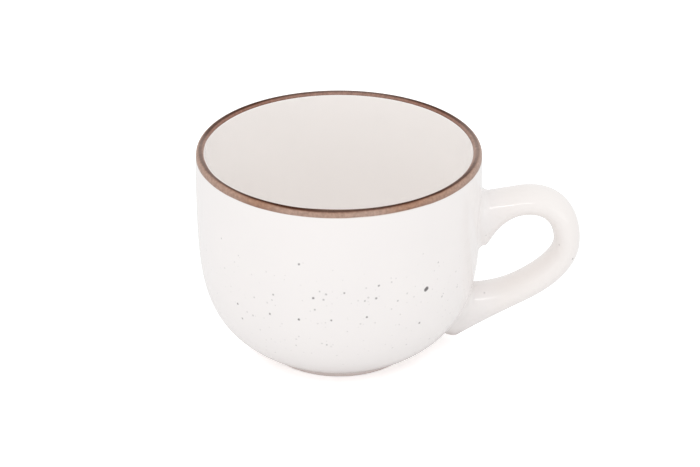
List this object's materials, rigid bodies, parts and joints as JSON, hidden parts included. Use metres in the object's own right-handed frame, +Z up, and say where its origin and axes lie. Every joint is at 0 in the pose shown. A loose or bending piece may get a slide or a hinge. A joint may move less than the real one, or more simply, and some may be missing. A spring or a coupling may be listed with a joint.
{
  "type": "cup",
  "caption": "Round-bellied glazed ceramic cup on a low foot ring, with a brown lip band and an ear-shaped loop handle, for hot drinks.",
  "frame": {"origin": "on the table, under the middle of the cup's box; the bowl's own axis stands 16.7 mm towards -X of it", "axes": "+Z up, +X towards the handle, the handle's plane is Y = 0"},
  "size_m": [0.1291, 0.0958, 0.0736],
  "materials": {
    "fired_clay": "off-white fired stoneware, covered by the glazes",
    "bare_foot_clay": "bare off-white fired clay, matt, slightly gritty",
    "liner_glaze": "plain white gloss glaze",
    "speckled_glaze": "white gloss glaze with grey-black iron specks",
    "brown_edge_glaze": "brown iron edge glaze, uneven brushed line"
  },
  "bodies": {
    "root": {"cup_body": "fired_clay", "foot_ring": "bare_foot_clay", "inner_glaze": "liner_glaze", "outer_glaze": "speckled_glaze", "base_glaze": "speckled_glaze", "rim_band": "brown_edge_glaze", "handle": "speckled_glaze", "upper_handle_joint": "speckled_glaze", "lower_handle_joint": "speckled_glaze"}
  },
  "joints": []
}
